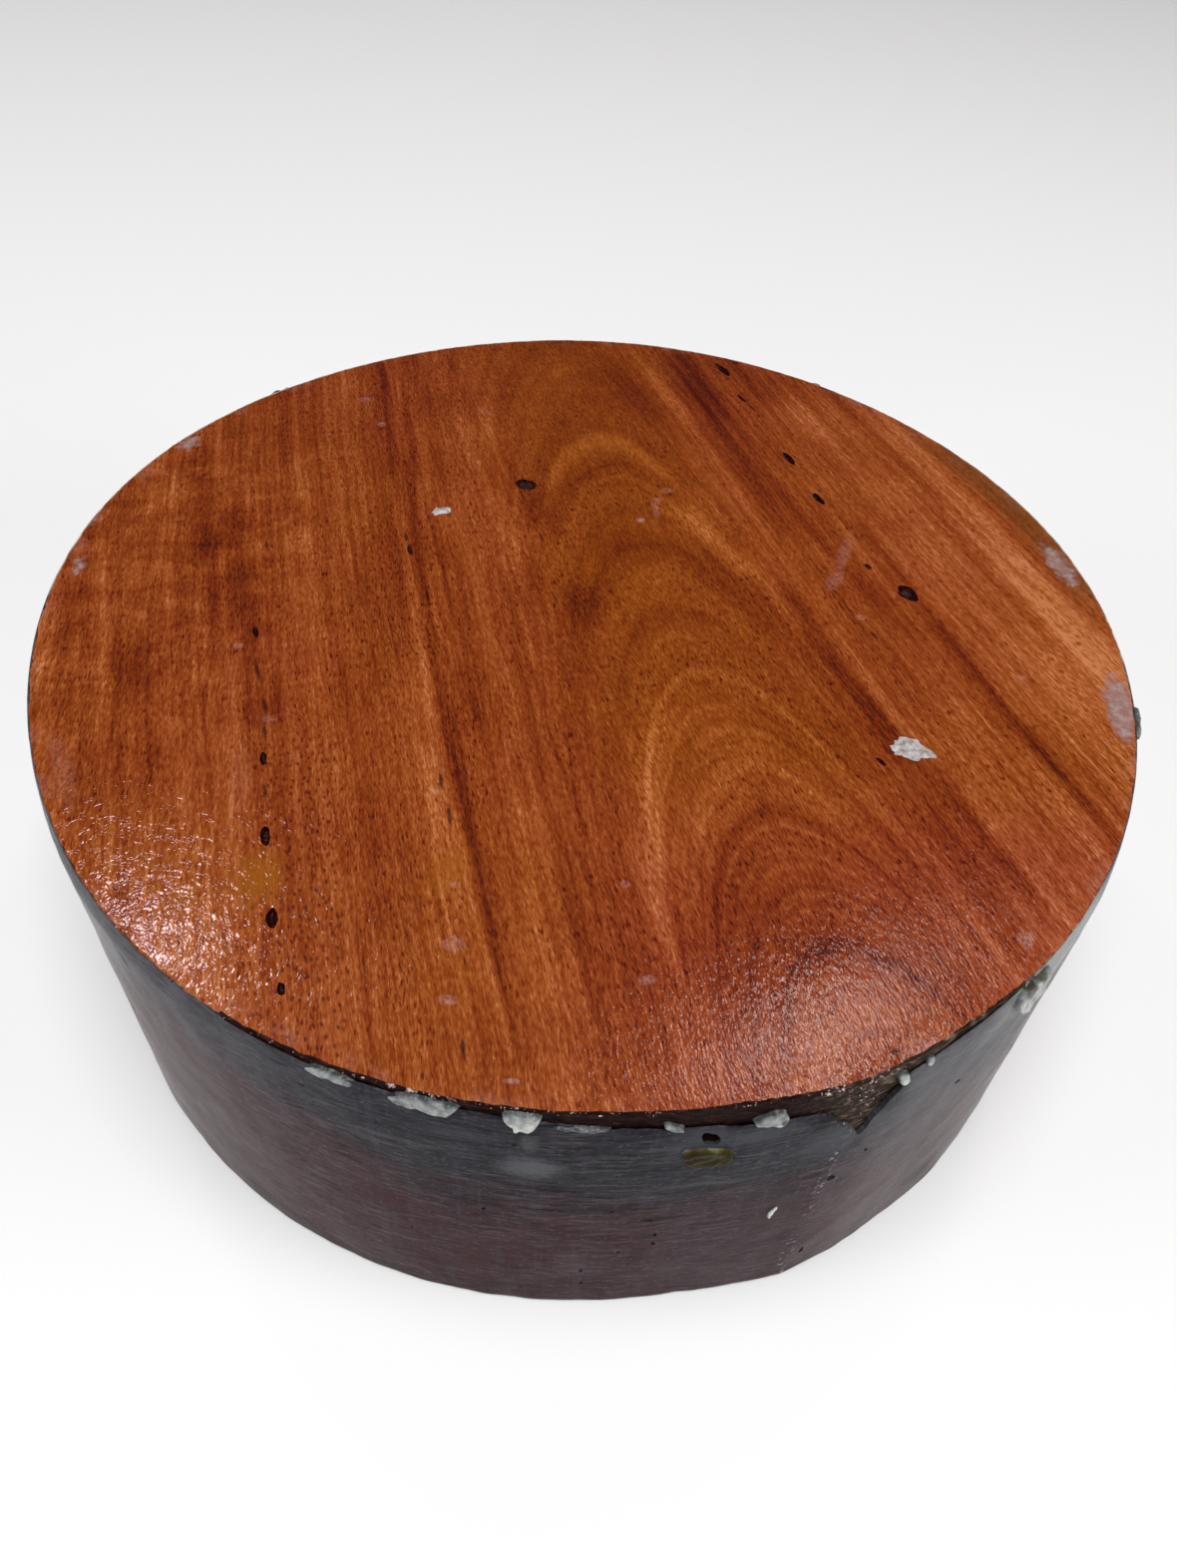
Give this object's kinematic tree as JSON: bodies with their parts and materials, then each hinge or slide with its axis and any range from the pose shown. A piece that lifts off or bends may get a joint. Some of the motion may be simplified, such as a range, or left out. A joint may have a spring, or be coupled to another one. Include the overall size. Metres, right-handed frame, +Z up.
{
  "type": "round wood slice",
  "caption": "Thick round slice of red-brown hardwood, band-sawn to a disc, with a glossy planed face and a wax-sealed side.",
  "frame": {"origin": "middle of the underside, on the disc's axis", "axes": "+Z up through the slice to its glossy planed face, -Y towards the part of the side where the wax has come away and the sawn ridge stands, +X to its right"},
  "size_m": [0.2057, 0.2066, 0.0771],
  "materials": {
    "heartwood": "gloss",
    "side_wax": "satin",
    "white_wax": "satin",
    "amber_wax": "gloss"
  },
  "bodies": {
    "root": {"wood_blank": "heartwood", "wax_coat": "side_wax", "rim_drip_1": "white_wax", "rim_drip_2": "white_wax", "rim_drip_3": "white_wax", "rim_drip_4": "white_wax", "rim_drip_5": "white_wax", "rim_drip_6": "white_wax", "rim_drip_7": "white_wax", "rim_drip_8": "white_wax", "rim_drip_9": "white_wax", "rim_drip_10": "white_wax", "rim_drip_11": "white_wax", "rim_drip_12": "white_wax", "side_chip": "white_wax", "face_flake_1": "white_wax", "face_flake_2": "white_wax", "face_flake_3": "white_wax", "rim_film_1": "white_wax", "rim_film_2": "white_wax", "rim_film_3": "white_wax", "rim_film_4": "white_wax", "amber_lump": "amber_wax"}
  },
  "joints": []
}
